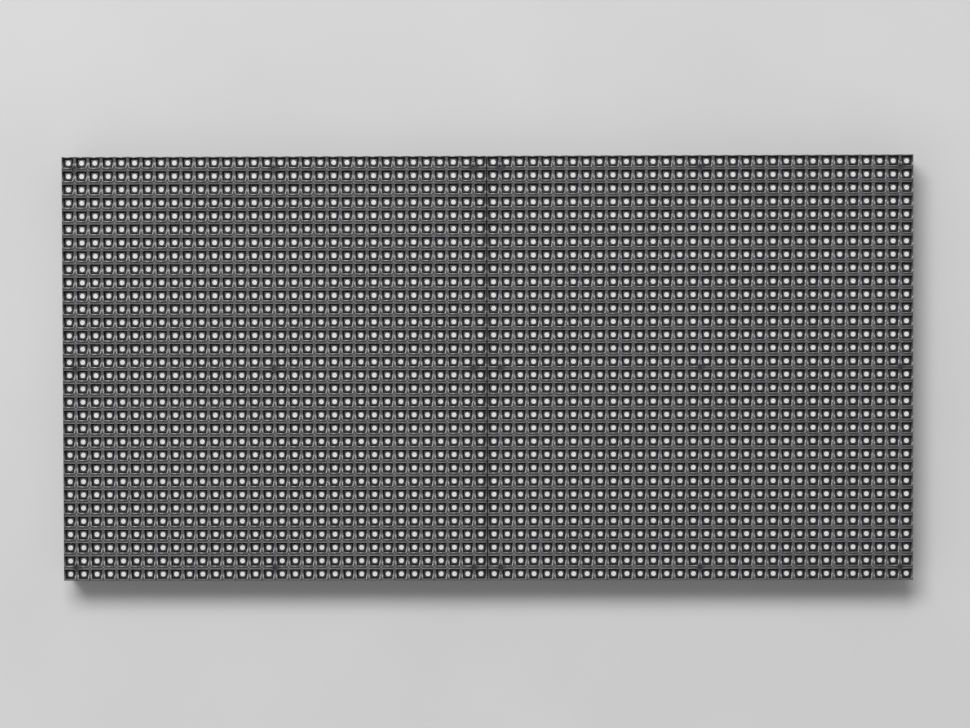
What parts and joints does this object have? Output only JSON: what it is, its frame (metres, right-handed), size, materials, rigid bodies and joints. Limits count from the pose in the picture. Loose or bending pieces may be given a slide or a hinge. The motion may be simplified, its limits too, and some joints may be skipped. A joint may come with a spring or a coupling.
{
  "type": "rgb led matrix panel",
  "caption": "Flat RGB LED matrix panel: two louvred masks over a pixel board in a moulded rear frame with headers and threaded mounting bosses.",
  "frame": {"origin": "middle of the rear frame's back face, on which the panel lies", "axes": "+Z out of the lit face, +X along the long side, +Y up the picture"},
  "size_m": [0.2556, 0.1278, 0.0141],
  "materials": {
    "mask": "moulded satin black",
    "frame": "moulded matt black",
    "board": "solder mask",
    "screw": "blackened steel",
    "chip": "moulded epoxy",
    "header": "moulded black",
    "power_header": "natural nylon",
    "can": "drawn can",
    "insert": "machined brass"
  },
  "bodies": {
    "root": {"bus_buffer_1": "chip", "bus_buffer_2": "chip", "bus_buffer_3": "chip", "capacitor_1": "can", "capacitor_2": "can", "data_header_in": "header", "data_header_out": "header", "led_board": "board", "led_driver_lower_01": "chip", "led_driver_lower_02": "chip", "led_driver_lower_03": "chip", "led_driver_lower_04": "chip", "led_driver_lower_05": "chip", "led_driver_lower_06": "chip", "led_driver_lower_07": "chip", "led_driver_lower_08": "chip", "led_driver_lower_09": "chip", "led_driver_lower_10": "chip", "led_driver_lower_11": "chip", "led_driver_lower_12": "chip", "led_driver_upper_01": "chip", "led_driver_upper_02": "chip", "led_driver_upper_03": "chip", "led_driver_upper_04": "chip", "led_driver_upper_05": "chip", "led_driver_upper_06": "chip", "led_driver_upper_07": "chip", "led_driver_upper_08": "chip", "led_driver_upper_09": "chip", "led_driver_upper_10": "chip", "led_driver_upper_11": "chip", "led_driver_upper_12": "chip", "mask_left": "mask", "mask_right": "mask", "mask_screw_01": "screw", "mask_screw_02": "screw", "mask_screw_03": "screw", "mask_screw_04": "screw", "mask_screw_05": "screw", "mask_screw_06": "screw", "mask_screw_07": "screw", "mask_screw_08": "screw", "mask_screw_09": "screw", "mask_screw_10": "screw", "mask_screw_11": "screw", "mask_screw_12": "screw", "mask_screw_13": "screw", "mask_screw_14": "screw", "mask_screw_15": "screw", "mask_screw_16": "screw", "mask_screw_17": "screw", "mask_screw_18": "screw", "power_header": "power_header", "rear_frame": "frame", "threaded_insert_1": "insert", "threaded_insert_2": "insert", "threaded_insert_3": "insert", "threaded_insert_4": "insert", "threaded_insert_5": "insert", "threaded_insert_6": "insert"}
  },
  "joints": []
}
